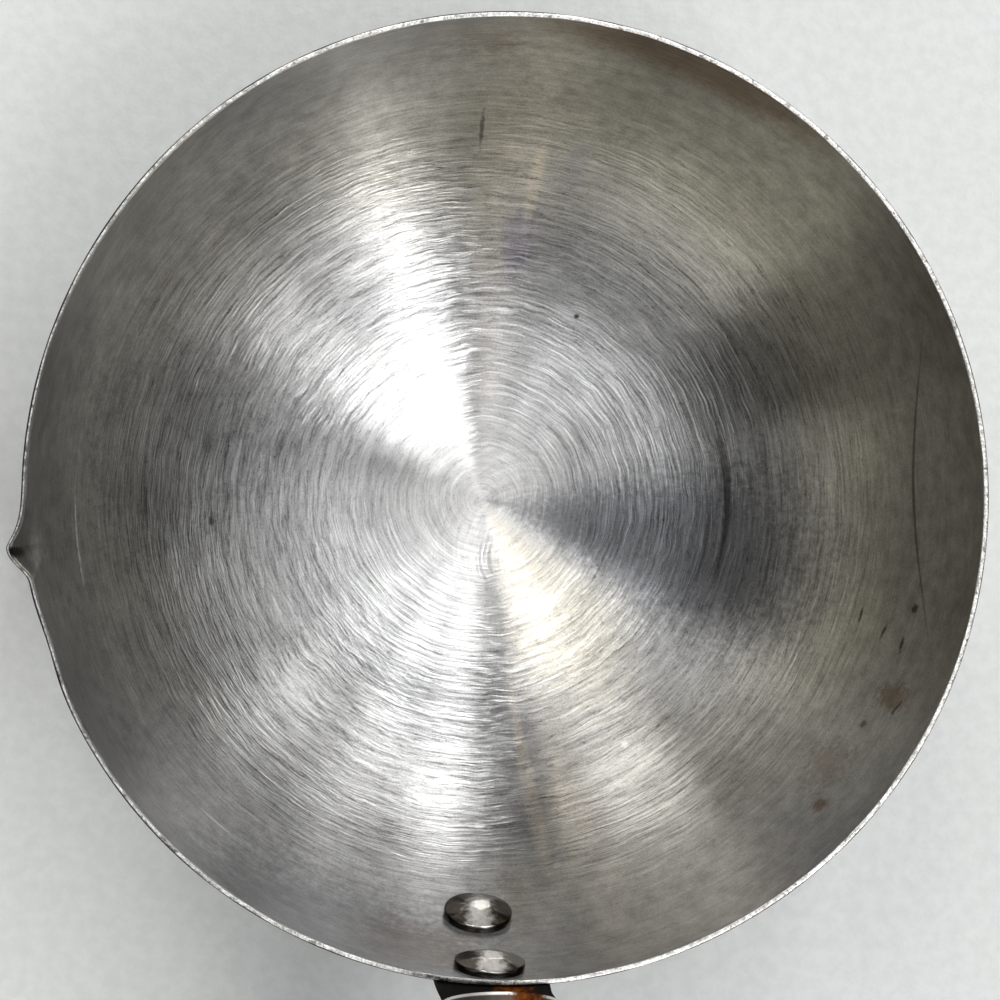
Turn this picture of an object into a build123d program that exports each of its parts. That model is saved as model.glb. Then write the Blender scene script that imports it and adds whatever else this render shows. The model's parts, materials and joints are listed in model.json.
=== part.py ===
from build123d import *
from math import acos, atan, cos, degrees, radians, sin, sqrt
import os

os.makedirs("parts", exist_ok=True)

# ---------------------------------------------------------------------------
# Driving dimensions, in mm and degrees. The bowl stands on z = 0 about the
# Z axis, the handle leaves towards -Y and rises, the pouring lip is near -X.
# ---------------------------------------------------------------------------

# spun bowl
RIM_D = 135.0          # outside diameter at the rim
BOWL_H = 45.0          # height of the rim
SHEET = 0.8            # sheet thickness
KNUCKLE_R = 34.0       # outside radius between the flat and the wall
WALL_R = 77.0          # outside radius of the wall's slight curve
RIM_ANGLE = 87.0       # steepness of the wall at the rim

# pinched pouring lip
LIP_AZ = 188.5         # counter-clockwise from +X
LIP_DEPTH = 12.0       # how far down the wall the crease runs
LIP_OUT = 3.1          # reach of the sharp tip past the outside of the rim
LIP_LONG = 7.6         # half width on the side away from the handle
LIP_SHORT = 6.0        # half width on the handle side
LIP_FOOT = 1.5         # half width where the crease runs out
LIP_TIP_R = 1.6        # outside radius of the tip
LIP_HOLLOW = 0.09      # hollow of each flank, as a part of its width
LIP_TOE = 0.2          # how far the ends of the flanks sink into the wall
LIP_SINK = 0.35        # how far the foot of the crease sinks into the wall
LIP_ROOT = 6.0         # how far the wedge reaches in from the wall
LIP_LOSS = 0.22        # part of the sheet's thickness that the inner tip reaches less
LIP_PAST = 1.0         # how far the inner wedge is carried on past the rim

# socket: one sheet piece, a riveted tongue that opens into a tube
SOCKET_T = 0.8         # sheet thickness
SEAT = 0.05            # gap between the tongue and the bowl
TONGUE_W = 16.0        # width of the tongue
TONGUE_LEAVES = 1.5    # distance below the rim at which it leaves the wall
BEND_R = 4.5           # mid radius of its bend over the rim
BEND_STATIONS = (0, 0.3, 0.55, 0.75, 0.9, 1)   # sections along the bend, wall to tube
TUBE_D = 16.0          # outside diameter of the tube
TUBE_L = 60.0          # length of the tube
RISE = 22.0            # rise of the handle

# round-head rivets, both on the handle's meridian
RIVET_DOWN = (5.7, 23.8)   # distances below the rim, along the wall
HEAD_D = 10.0
HEAD_H = 2.4
HEAD_LAND = 0.8        # straight edge under the dome
TAIL_D = 8.0
TAIL_H = 1.8
SHANK_D = 5.0
SHANK_FIT = 0.1        # play of the shank in its holes, on the diameter
HEAD_FIT = 0.02        # gap under a head

# turned wooden grip
TENON_L = 30.0
TENON_FIT = 0.1        # play of the tenon in the tube, on the radius
TENON_BEVEL = 0.8
GRIP_L = 92.0          # length outside the tube
GRIP_STEP = 0.7        # how far its shoulder stands out from the tube
GRIP_CORNER = 1.05     # length over which the shoulder's corner is eased off
GRIP_SLOPE = -0.05     # slope of its side just past that corner
GRIP_WAIST_R = 8.3
GRIP_WAIST_AT = 14.0   # distances from the end of the tube
GRIP_BELLY_R = 9.9
GRIP_BELLY_AT = 46.0
GRIP_HEEL_R = 9.1      # radius at the hanging hole
GRIP_END_R = 8.3       # ball end
GRIP_END_TURN = 66.0   # the ball end turns this far off the axis
HANG_D = 6.0           # hanging hole
HANG_IN = 14.0         # its distance from the end of the grip

# pin that holds the grip
PIN_D = 3.0
PIN_FIT = 0.1          # play of the pin in its holes, on the diameter
PIN_IN = 15.0          # its distance from the end of the tube
PIN_HEAD_D = 5.0
PIN_HEAD_H = 1.0

SKIRT = 1.0            # length below a dome that is trimmed to its seat
PAST = 4.0             # how far cutting tools run past what they cut

# ---------------------------------------------------------------------------
# Half section of the bowl. (u, z) is distance from the bowl's axis and height.
# The knuckle turns until the wall's own curve ends at RIM_ANGLE at the rim,
# and what is left of the radius is the flat.
# ---------------------------------------------------------------------------
rim_r = RIM_D / 2
knuckle_turn = acos(
    (BOWL_H - KNUCKLE_R + WALL_R * cos(radians(RIM_ANGLE))) / (WALL_R - KNUCKLE_R)
)
wall_turn = radians(RIM_ANGLE) - knuckle_turn
wall_c = (rim_r - WALL_R * sin(radians(RIM_ANGLE)), BOWL_H + WALL_R * cos(radians(RIM_ANGLE)))
flat_r = wall_c[0] + (WALL_R - KNUCKLE_R) * sin(knuckle_turn)


def on_section(down, inward):
    """Point of the section at a distance below the rim along the sheet, offset inwards,
    and the steepness there in radians."""
    turned = radians(RIM_ANGLE) - down / WALL_R
    if turned >= knuckle_turn:
        u = wall_c[0] + (WALL_R - inward) * sin(turned)
        z = wall_c[1] - (WALL_R - inward) * cos(turned)
    else:
        turned = knuckle_turn - (down - wall_turn * WALL_R) / KNUCKLE_R
        u = flat_r + (KNUCKLE_R - inward) * sin(turned)
        z = KNUCKLE_R - (KNUCKLE_R - inward) * cos(turned)
    return u, z, turned


def wall_radius(z, inward):
    """Radius at height z of the wall surface offset inwards."""
    return wall_c[0] + sqrt((WALL_R - inward) ** 2 - (z - wall_c[1]) ** 2)


def form(inward, past=0.0):
    """The bowl as a filled body, offset inwards, its wall carried on past the rim."""
    floor = Line((0, inward), (flat_r, inward))
    knuckle = JernArc(floor @ 1, (1, 0), KNUCKLE_R - inward, degrees(knuckle_turn))
    wall = JernArc(knuckle @ 1, knuckle % 1, WALL_R - inward, degrees(wall_turn))
    edges = [floor, knuckle, wall]
    top = wall @ 1
    if past:
        carried = Line(top, top + (wall % 1) * past)
        edges.append(carried)
        top = carried @ 1
    lid = Line(top, (0, top.Y))
    edges += [lid, Line(lid @ 1, floor @ 0)]
    return revolve(Plane.XZ * make_face(edges), Axis.Z)


# ---------------------------------------------------------------------------
# Bowl: one sheet spun to a flat base, a large knuckle and a steep wall, with
# the lip pinched outwards at the rim.
# ---------------------------------------------------------------------------
def lip_section(z, radius, reach, long_w, short_w, tip_r):
    """Plan of the lip at height z: two hollow flanks that meet in a rounded tip."""
    tip = (0, radius + reach)
    toe_long = (-long_w, sqrt(radius**2 - long_w**2) - LIP_TOE)
    toe_short = (short_w, sqrt(radius**2 - short_w**2) - LIP_TOE)
    root_long = (-long_w, radius - LIP_ROOT)
    root_short = (short_w, radius - LIP_ROOT)
    outline = make_face(
        [
            SagittaArc(toe_long, tip, -LIP_HOLLOW * long_w),
            SagittaArc(tip, toe_short, -LIP_HOLLOW * short_w),
            Line(toe_short, root_short),
            Line(root_short, root_long),
            Line(root_long, toe_long),
        ]
    )
    outline = fillet(outline.vertices().sort_by(Axis.Y)[-1], tip_r)
    across = Vector(-sin(radians(LIP_AZ)), cos(radians(LIP_AZ)), 0)
    return Plane((0, 0, z), x_dir=across, z_dir=(0, 0, -1)) * outline


def lip(inward, reach, tip_r, past=0.0):
    """The lip as a filled wedge that runs out on the wall at LIP_DEPTH."""
    low = BOWL_H - LIP_DEPTH
    low_r = wall_radius(low, inward)
    grow = 1 + past / LIP_DEPTH
    foot = lip_section(low, low_r, -LIP_SINK, LIP_FOOT, LIP_FOOT, tip_r / 2)
    mouth = lip_section(
        BOWL_H + past,
        low_r + (wall_radius(BOWL_H, inward) - low_r) * grow,
        -LIP_SINK + (reach + LIP_SINK) * grow,
        LIP_FOOT + (LIP_LONG - LIP_FOOT) * grow,
        LIP_FOOT + (LIP_SHORT - LIP_FOOT) * grow,
        tip_r * (1 + grow) / 2,
    )
    return loft([foot, mouth], ruled=True)


# the sheet keeps its thickness on the flanks, so the inner tip reaches less
inner_reach = LIP_OUT - LIP_LOSS * SHEET
outside = form(0) + lip(0, LIP_OUT, LIP_TIP_R)
inside = form(SHEET, past=PAST) + lip(SHEET, inner_reach, LIP_TIP_R - SHEET, past=LIP_PAST)
bowl = outside - inside

# one plane a rivet, on the inside of the wall, its Z towards the middle of the bowl
rivet_seats = []
for down in RIVET_DOWN:
    u, z, steep = on_section(down, SHEET)
    rivet_seats.append(Plane((0, -u, z), x_dir=(1, 0, 0), z_dir=(0, sin(steep), cos(steep))))

rivet_hole = Cylinder((SHANK_D + SHANK_FIT) / 2, 2 * PAST)
for seat in rivet_seats:
    bowl -= seat * rivet_hole

# ---------------------------------------------------------------------------
# Handle socket: the tongue follows the wall, leaves it just below the rim and
# turns outwards while its two edges stand up into the lower half of the tube.
# ---------------------------------------------------------------------------
half_w = TONGUE_W / 2
half_t = SOCKET_T / 2
tube_r = TUBE_D / 2
tube_mid_r = tube_r - half_t
leave_z = BOWL_H - TONGUE_LEAVES
mid_r = wall_radius(leave_z, 0) + SEAT + half_t
edge_u = sqrt(mid_r**2 - half_w**2)


def on_bend(s):
    """Lowest point of the sheet's mid surface, s from 0 at the wall to 1 at the tube."""
    start = radians(RIM_ANGLE)
    a = radians(RIM_ANGLE + (RISE - RIM_ANGLE) * s)
    return mid_r + BEND_R * (sin(start) - sin(a)), leave_z + BEND_R * (cos(a) - cos(start))


tube_floor = on_bend(1)
tube_front = (
    tube_floor[0] - tube_mid_r * sin(radians(RISE)),
    tube_floor[1] + tube_mid_r * cos(radians(RISE)),
)
handle_dir = Vector(0, -cos(radians(RISE)), sin(radians(RISE)))


def sheet_section(s):
    """Cross-section of the sheet between the flat tongue and the half tube."""
    tilt = radians(90 + (RISE - 90) * s)
    u, z = on_bend(s)
    if s == 0:
        outer_r = mid_r + half_t
        inner_r = mid_r - half_t
        outer_end = (half_w, mid_r - sqrt(outer_r**2 - half_w**2))
        inner_end = (half_w, mid_r - sqrt(inner_r**2 - half_w**2))
    else:
        outer_w = half_w + (tube_r - half_w) * s
        rise = (u - edge_u - (tube_front[0] - edge_u) * s) / sin(tilt)
        turn = 2 * atan(rise / (outer_w - half_t * s))
        outer_end = (outer_w, rise - half_t * cos(turn))
        inner_end = (outer_w - SOCKET_T * sin(turn), rise + half_t * cos(turn))
    outline = make_face(
        [
            ThreePointArc((-outer_end[0], outer_end[1]), (0, -half_t), outer_end),
            Line(outer_end, inner_end),
            ThreePointArc(inner_end, (0, half_t), (-inner_end[0], inner_end[1])),
            Line((-inner_end[0], inner_end[1]), (-outer_end[0], outer_end[1])),
        ]
    )
    plane = Plane((0, -u, z), x_dir=(1, 0, 0), z_dir=(0, -cos(tilt), sin(tilt)))
    return plane * outline


throat = loft([sheet_section(s) for s in BEND_STATIONS])

tube_plane = Plane((0, -tube_front[0], tube_front[1]), x_dir=(1, 0, 0), z_dir=handle_dir)
tube = extrude(tube_plane * (Circle(tube_r) - Circle(tube_r - SOCKET_T)), TUBE_L)

toe_z = rivet_seats[1].origin.Z
tongue_outline = Plane.XZ * (
    Pos(0, (leave_z + toe_z) / 2) * Rectangle(TONGUE_W, leave_z - toe_z)
    + Pos(0, toe_z) * Circle(half_w)
)
tongue_sheet = form(-SEAT - SOCKET_T) - form(-SEAT, past=PAST)
tongue = tongue_sheet & extrude(tongue_outline, rim_r + PAST)

pin_plane = Plane(
    tube_plane.origin + handle_dir * (TUBE_L - PIN_IN), x_dir=handle_dir, z_dir=(1, 0, 0)
)
pin_hole = pin_plane * Cylinder((PIN_D + PIN_FIT) / 2, TUBE_D + PAST)

handle_socket = tongue + throat + tube - pin_hole
for seat in rivet_seats:
    handle_socket -= seat * rivet_hole


# ---------------------------------------------------------------------------
# Rivets: domed head inside the bowl, shank through both sheets, peened tail
# outside. Each head sits down on the sheet's own curve.
# ---------------------------------------------------------------------------
def dome(diameter, height, land=0.0):
    """Cap of a sphere on a straight edge, about Z, with a skirt below z = 0 to be trimmed."""
    r = diameter / 2
    cap = height - land
    ball = (r**2 + cap**2) / (2 * cap)
    half = atan(r / (ball - cap)) / 2
    mid = (ball * sin(half), height - ball + ball * cos(half))
    outline = make_face(
        [
            Line((0, -SKIRT), (r, -SKIRT)),
            Line((r, -SKIRT), (r, land)),
            ThreePointArc((r, land), mid, (0, height)),
            Line((0, height), (0, -SKIRT)),
        ]
    )
    return revolve(Plane.XZ * outline, Axis.Z)


stack = SHEET + SEAT + SOCKET_T
head_room = form(SHEET + HEAD_FIT, past=PAST)
tail_block = form(-SEAT - SOCKET_T - HEAD_FIT, past=PAST)
rivets = []
for seat in rivet_seats:
    head = (seat * dome(HEAD_D, HEAD_H, HEAD_LAND)) & head_room
    tail = seat * (Pos(0, 0, -stack) * Rot(180, 0, 0) * dome(TAIL_D, TAIL_H)) - tail_block
    shank = seat * (Pos(0, 0, -stack / 2) * Cylinder(SHANK_D / 2, stack + 2 * SKIRT))
    rivets.append(head + tail + shank)
upper_rivet, lower_rivet = rivets

# ---------------------------------------------------------------------------
# Wooden grip: turned in one piece, its tenon inside the tube and its shoulder
# on the end of the tube. (s, r) is distance past that end, and radius.
# ---------------------------------------------------------------------------
tenon_r = tube_r - SOCKET_T - TENON_FIT
mouth_r = tube_r + GRIP_STEP
end_turn = radians(GRIP_END_TURN)
end_c = GRIP_L - GRIP_END_R
end_start = (end_c + GRIP_END_R * cos(end_turn), GRIP_END_R * sin(end_turn))
end_mid = (end_c + GRIP_END_R * cos(end_turn / 2), GRIP_END_R * sin(end_turn / 2))
mouth_edge = (HEAD_FIT + GRIP_CORNER, mouth_r)

grip_plane = Plane(
    tube_plane.origin + handle_dir * TUBE_L, x_dir=handle_dir, z_dir=(1, 0, 0)
)
tenon_side = Polyline(
    (-TENON_L, 0),
    (-TENON_L, tenon_r - TENON_BEVEL),
    (-TENON_L + TENON_BEVEL, tenon_r),
    (HEAD_FIT, tenon_r),
    (HEAD_FIT, tube_r),
    mouth_edge,
)
grip_side = Spline(
    mouth_edge,
    (GRIP_WAIST_AT, GRIP_WAIST_R),
    (GRIP_BELLY_AT, GRIP_BELLY_R),
    (GRIP_L - HANG_IN, GRIP_HEEL_R),
    end_start,
    tangents=((1, GRIP_SLOPE), (sin(end_turn), -cos(end_turn))),
)
grip_end = ThreePointArc(end_start, end_mid, (GRIP_L, 0))
grip_axis = Line((GRIP_L, 0), (-TENON_L, 0))
grip_outline = make_face([tenon_side, grip_side, grip_end, grip_axis])
hang_plane = Plane(
    grip_plane.origin + handle_dir * (GRIP_L - HANG_IN), x_dir=handle_dir, z_dir=(1, 0, 0)
)
wooden_grip = (
    revolve(grip_plane * grip_outline, Axis(grip_plane.origin, handle_dir))
    - hang_plane * Cylinder(HANG_D / 2, 2 * GRIP_BELLY_R + PAST)
    - pin_hole
)

# ---------------------------------------------------------------------------
# Grip pin: steel, across the tube and the tenon, peened to a low dome at both
# ends on the curve of the tube.
# ---------------------------------------------------------------------------
pin_dome = dome(PIN_HEAD_D, PIN_HEAD_H)
pin_heads = pin_plane * (Pos(0, 0, tube_r) * pin_dome + Pos(0, 0, -tube_r) * Rot(180, 0, 0) * pin_dome)
tube_block = extrude(tube_plane * Circle(tube_r + HEAD_FIT), TUBE_L)
grip_pin = (pin_heads - tube_block) + pin_plane * Cylinder(PIN_D / 2, TUBE_D + PIN_HEAD_H)

# ---------------------------------------------------------------------------
# One STEP file a piece
# ---------------------------------------------------------------------------
nodes = {
    "bowl": bowl,
    "handle_socket": handle_socket,
    "upper_rivet": upper_rivet,
    "lower_rivet": lower_rivet,
    "wooden_grip": wooden_grip,
    "grip_pin": grip_pin,
}
for name, shape in nodes.items():
    export_step(shape.solid(), f"parts/{name}.step")
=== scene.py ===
import bmesh
import bpy
import json
import math
import random
from mathutils import Matrix, Vector


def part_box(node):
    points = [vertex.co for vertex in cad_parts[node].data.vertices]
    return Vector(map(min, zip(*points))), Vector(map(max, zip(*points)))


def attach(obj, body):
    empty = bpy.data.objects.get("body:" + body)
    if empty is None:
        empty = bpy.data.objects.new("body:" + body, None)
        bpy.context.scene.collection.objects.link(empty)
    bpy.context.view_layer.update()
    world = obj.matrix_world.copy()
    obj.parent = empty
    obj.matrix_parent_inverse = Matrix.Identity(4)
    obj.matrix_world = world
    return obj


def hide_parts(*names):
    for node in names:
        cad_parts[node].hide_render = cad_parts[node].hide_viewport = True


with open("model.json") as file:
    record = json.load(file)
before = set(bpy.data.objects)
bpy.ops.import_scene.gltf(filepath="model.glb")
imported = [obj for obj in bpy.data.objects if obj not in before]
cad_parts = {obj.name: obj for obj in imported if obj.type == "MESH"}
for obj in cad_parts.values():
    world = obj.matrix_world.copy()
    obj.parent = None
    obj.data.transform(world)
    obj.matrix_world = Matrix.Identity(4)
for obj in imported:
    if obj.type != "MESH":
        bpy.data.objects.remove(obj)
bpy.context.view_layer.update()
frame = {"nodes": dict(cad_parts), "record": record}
scene = bpy.context.scene
scene.view_settings.view_transform = "Standard"

# ---------------------------------------------------------------------------
# Camera: held above the open bowl, a little to the lip's side of the middle,
# and turned slightly about its own view.
# ---------------------------------------------------------------------------
_, bowl_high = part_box("bowl")
rim_height = bowl_high.z
rim_radius = bowl_high.x
CAMERA_SIDEWAYS = (-0.04075, -0.00366)
CAMERA_OVER_RIM = 0.324
CAMERA_AIM = (-0.00239, -0.0004)
CAMERA_TURN = math.radians(2.81)
camera_data = bpy.data.cameras.new("camera")
camera_data.lens = 85.0
camera_data.sensor_width = 36.0
camera_data.clip_start = 0.01
camera_data.clip_end = 20.0
camera = bpy.data.objects.new("camera", camera_data)
scene.collection.objects.link(camera)
camera.location = Vector((*CAMERA_SIDEWAYS, rim_height + CAMERA_OVER_RIM))
look = (Vector((*CAMERA_AIM, rim_height)) - camera.location).normalized()
side = look.cross(Vector((-math.sin(CAMERA_TURN), math.cos(CAMERA_TURN), 0))).normalized()
camera.matrix_world = Matrix.Translation(camera.location) @ Matrix(
    (side, side.cross(look), -look)
).transposed().to_4x4()
scene.camera = camera


# ---------------------------------------------------------------------------
# Bowl: one steel sheet spun over a former, brushed in rings inside, trimmed
# and ground bright along the rim, with the lip pinched outwards by hand.
# ---------------------------------------------------------------------------
SHEET = 0.0008
KNUCKLE_R = 0.034
WALL_R = 0.077
RIM_ANGLE = math.radians(87.0)
# the lip: how far it stands out, how deep it reaches, and its width either side
LIP_AZIMUTH = math.radians(188.5)
LIP_OUT = 0.00240
LIP_DEPTH = 0.0135
LIP_LONG = 0.0110
LIP_SHORT = 0.0052
LIP_NOSE = 0.0006
LIP_FADE = 1.7
LIP_BLUNT = 2.6
LIP_SHARP = 4
LIP_FOOT_WIDTH = 0.35
# the rim: its two broken corners, how far it is out of round, and what the file took off
RIM_BREAK = 0.0001
OUTER_BREAK = 0.00013
CORNER_CUT = 0.3
WANDER = 0.00016
WANDER_DEPTH = 0.011
DIP = 0.0005
DIP_BESIDE_LIP = 11.5
DIP_WIDTH = 4.5
FILED_INSIDE = 0.00030
FILED_OUTSIDE = 0.00008
FILED_UNEVENLY = 0.00004
# the mesh: shares of the flat floor, then steps round the knuckle and up the wall
FLOOR_SHARES = (0.0, 0.02, 0.1, 0.3, 0.5, 0.7, 0.9)
KNUCKLE_STEPS = 24
WALL_STEPS = 30
WALL_CROWDING = 1.25
COLUMN_STEP = math.radians(1.0)
LIP_HALF_SPAN = math.radians(9)
LIP_COLUMNS = 110

knuckle_turn = math.acos(
    (rim_height - KNUCKLE_R + WALL_R * math.cos(RIM_ANGLE)) / (WALL_R - KNUCKLE_R)
)
wall_axis = rim_radius - WALL_R * math.sin(RIM_ANGLE)
wall_level = rim_height + WALL_R * math.cos(RIM_ANGLE)
flat_radius = wall_axis + (WALL_R - KNUCKLE_R) * math.sin(knuckle_turn)


def bowl_section(inward):
    """Rows of the section from the middle of the floor up to the rim: (radius, height)."""
    rows = [(flat_radius * share, inward) for share in FLOOR_SHARES]
    for i in range(KNUCKLE_STEPS + 1):
        turn = knuckle_turn * i / KNUCKLE_STEPS
        reach = KNUCKLE_R - inward
        rows.append((flat_radius + reach * math.sin(turn), KNUCKLE_R - reach * math.cos(turn)))
    for i in range(1, WALL_STEPS + 1):
        climbed = 1 - (1 - i / WALL_STEPS) ** WALL_CROWDING
        turn = knuckle_turn + (RIM_ANGLE - knuckle_turn) * climbed
        reach = WALL_R - inward
        rows.append((wall_axis + reach * math.sin(turn), wall_level - reach * math.cos(turn)))
    return rows


def lip_push(azimuth, depth):
    """How far the hand-pinched lip moves the wall outwards: a beak, blunt on one side."""
    if depth > LIP_DEPTH:
        return 0.0
    left = 1 - max(depth, 0.0) / LIP_DEPTH
    across = (azimuth - LIP_AZIMUTH + math.pi) % (2 * math.pi) - math.pi
    across *= rim_radius / (LIP_FOOT_WIDTH + (1 - LIP_FOOT_WIDTH) * left)
    if across > 0:
        share = max(0.0, 1 - (across / LIP_SHORT) ** 2) ** LIP_BLUNT
    else:
        reach = (LIP_LONG - math.hypot(across, LIP_NOSE)) / (LIP_LONG - LIP_NOSE)
        share = max(0.0, reach) ** LIP_SHARP
    return LIP_OUT * left**LIP_FADE * share


def rim_wander(azimuth, depth):
    """The rim is never quite round: long shallow waves, and a dip beside the lip."""
    left = math.exp(-max(depth, 0.0) / WANDER_DEPTH)
    waves = 0.5 + 0.3 * math.sin(3 * azimuth + 0.7) + 0.2 * math.sin(7 * azimuth + 2.1)
    beside = (math.degrees(azimuth - LIP_AZIMUTH) - DIP_BESIDE_LIP) / DIP_WIDTH
    return -left * (WANDER * waves + DIP * math.exp(-beside * beside))


def worn_away(angle, place_in_section):
    """The rim is filed thinner on the lip's side, and unevenly all round."""
    lip_side = max(0.0, -math.cos(angle)) ** 2
    uneven = FILED_UNEVENLY * math.sin(23 * angle + 2 * math.sin(9 * angle))
    if place_in_section == inner_count:
        return -FILED_INSIDE * lip_side + uneven
    if place_in_section == inner_count + 1:
        return FILED_OUTSIDE * lip_side + uneven
    return 0.0


def column_angles():
    """Even columns round the bowl, with fine ones across the lip."""
    angles = []
    at = LIP_AZIMUTH + LIP_HALF_SPAN
    while at < LIP_AZIMUTH + 2 * math.pi - LIP_HALF_SPAN:
        angles.append(at)
        at += COLUMN_STEP
    start = LIP_AZIMUTH - LIP_HALF_SPAN
    angles += [start + 2 * LIP_HALF_SPAN * i / LIP_COLUMNS for i in range(LIP_COLUMNS)]
    return angles


inner_rows = bowl_section(SHEET)
outer_rows = bowl_section(0.0)
section = inner_rows[:-1]
inner_rim, outer_rim = inner_rows[-1], outer_rows[-1]
section += [
    (inner_rim[0], rim_height - RIM_BREAK),
    (inner_rim[0] + CORNER_CUT * RIM_BREAK, rim_height - CORNER_CUT * RIM_BREAK),
    (inner_rim[0] + RIM_BREAK, rim_height),
    (outer_rim[0] - OUTER_BREAK, rim_height),
    (outer_rim[0] - CORNER_CUT * OUTER_BREAK, rim_height - CORNER_CUT * OUTER_BREAK),
    (outer_rim[0], rim_height - OUTER_BREAK),
]
inner_count = len(inner_rows) + 1
section += outer_rows[:-1][::-1]

bowl_mesh = bpy.data.meshes.new("spun_bowl")
maker = bmesh.new()
angles = column_angles()
columns = []
floor_point = maker.verts.new((0, 0, section[0][1]))
foot_point = maker.verts.new((0, 0, section[-1][1]))
for angle in angles:
    column = []
    for place_in_section, (radius_here, height_here) in enumerate(section[1:-1], 1):
        depth = rim_height - height_here
        out = radius_here
        if radius_here > flat_radius:
            out += lip_push(angle, depth) + rim_wander(angle, depth)
            out -= worn_away(angle, place_in_section)
        column.append(maker.verts.new((out * math.cos(angle), out * math.sin(angle), height_here)))
    columns.append(column)
for i, column in enumerate(columns):
    following = columns[(i + 1) % len(columns)]
    maker.faces.new((floor_point, column[0], following[0]))
    for j in range(len(column) - 1):
        face = maker.faces.new((column[j], column[j + 1], following[j + 1], following[j]))
        if j > inner_count - 2:
            face.material_index = 1 if j < inner_count else 2
    last = maker.faces.new((foot_point, following[-1], column[-1]))
    last.material_index = 2
for face in maker.faces:
    face.smooth = True
maker.normal_update()
bmesh.ops.recalc_face_normals(maker, faces=maker.faces)
maker.to_mesh(bowl_mesh)
maker.free()
# the radial tangent turns about the middle of the mesh's texture box: put that on the axis
bowl_mesh.use_auto_texspace = False
bowl_mesh.texspace_location = (0, 0, rim_height / 2)
bowl_mesh.texspace_size = (rim_radius, rim_radius, rim_height / 2)
spun_bowl = bpy.data.objects.new("spun_bowl", bowl_mesh)
scene.collection.objects.link(spun_bowl)


def feed(tree, socket, value):
    """Gives a socket a plain value, or joins another node's output to it."""
    if isinstance(value, bpy.types.NodeSocket):
        tree.links.new(value, socket)
    else:
        socket.default_value = value


def add_node(tree, kind, inputs=None, **properties):
    """A node with its properties set and its inputs fed."""
    made = tree.nodes.new(kind)
    for name, value in properties.items():
        setattr(made, name, value)
    for name, value in (inputs or {}).items():
        feed(tree, made.inputs[name], value)
    return made


def maths(tree, operation, first, second=0.0, third=0.0):
    made = add_node(tree, "ShaderNodeMath", {0: first, 1: second, 2: third}, operation=operation)
    return made.outputs[0]


def vector_maths(tree, operation, first, second=(0, 0, 0), third=(0, 0, 0)):
    """Maths on vectors. A length or a dot product comes back as a plain value."""
    made = add_node(
        tree, "ShaderNodeVectorMath", {0: first, 1: second, 2: third}, operation=operation
    )
    return made.outputs["Value" if operation in ("LENGTH", "DOT_PRODUCT") else "Vector"]


def components(tree, vector):
    return add_node(tree, "ShaderNodeSeparateXYZ", {0: vector}).outputs


def combined(tree, x, y, z=0.0):
    return add_node(tree, "ShaderNodeCombineXYZ", {0: x, 1: y, 2: z}).outputs[0]


def distance_from_axis(tree, x, y):
    return vector_maths(tree, "LENGTH", combined(tree, x, y))


MM_PER_METRE = 1000.0


def place_in_mm(tree):
    place = add_node(tree, "ShaderNodeTexCoord").outputs["Object"]
    return vector_maths(tree, "MULTIPLY", place, (MM_PER_METRE,) * 3)


def ramp(tree, value, low, high, start=0.0, end=1.0):
    """Smooth step of a value from one level to another."""
    made = add_node(
        tree,
        "ShaderNodeMapRange",
        {"Value": value, "From Min": low, "From Max": high, "To Min": start, "To Max": end},
        interpolation_type="SMOOTHSTEP",
    )
    return made.outputs["Result"]


def blend_colour(tree, amount, first, second, mode="MIX"):
    made = add_node(
        tree,
        "ShaderNodeMix",
        {0: amount, 6: first, 7: second},
        data_type="RGBA",
        blend_type=mode,
        clamp_factor=True,
    )
    return made.outputs[2]


def noise(tree, vector, scale, detail=3.0, roughness=0.55, distortion=0.0):
    made = add_node(
        tree,
        "ShaderNodeTexNoise",
        {
            "Vector": vector,
            "Scale": scale,
            "Detail": detail,
            "Roughness": roughness,
            "Distortion": distortion,
        },
    )
    return made.outputs["Fac"]


def emboss(tree, shader, height, strength, distance, under=None):
    """Gives a material its relief. Returns the normal, so that a finer one can stand on it."""
    made = add_node(
        tree, "ShaderNodeBump", {"Height": height, "Strength": strength, "Distance": distance}
    )
    if under is not None:
        tree.links.new(under, made.inputs["Normal"])
    tree.links.new(made.outputs["Normal"], shader.inputs["Normal"])
    return made.outputs["Normal"]


def brushed_round(tree, shader, how_much):
    """Metal brushed in rings about Z draws its highlights out across them."""
    shader.inputs["Anisotropic"].default_value = how_much
    shader.inputs["Anisotropic Rotation"].default_value = 0.25
    tangent = add_node(tree, "ShaderNodeTangent", direction_type="RADIAL", axis="Z")
    tree.links.new(tangent.outputs[0], shader.inputs["Tangent"])


def start_group(name, inputs, outputs):
    group = bpy.data.node_groups.new(name, "ShaderNodeTree")
    for label, kind, default in inputs:
        socket = group.interface.new_socket(label, in_out="INPUT", socket_type=kind)
        if default is not None:
            socket.default_value = default
    for label, kind in outputs:
        group.interface.new_socket(label, in_out="OUTPUT", socket_type=kind)
    return group, group.nodes.new("NodeGroupInput"), group.nodes.new("NodeGroupOutput")


def start_material(name):
    """A new material, with its tree, its empty Principled shader and the output joined up."""
    material = bpy.data.materials.new(name)
    material.use_nodes = True
    tree = material.node_tree
    return material, tree, tree.nodes["Principled BSDF"]


def use_group(tree, group, inputs=None):
    return add_node(tree, "ShaderNodeGroup", inputs, node_tree=group).outputs


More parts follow.
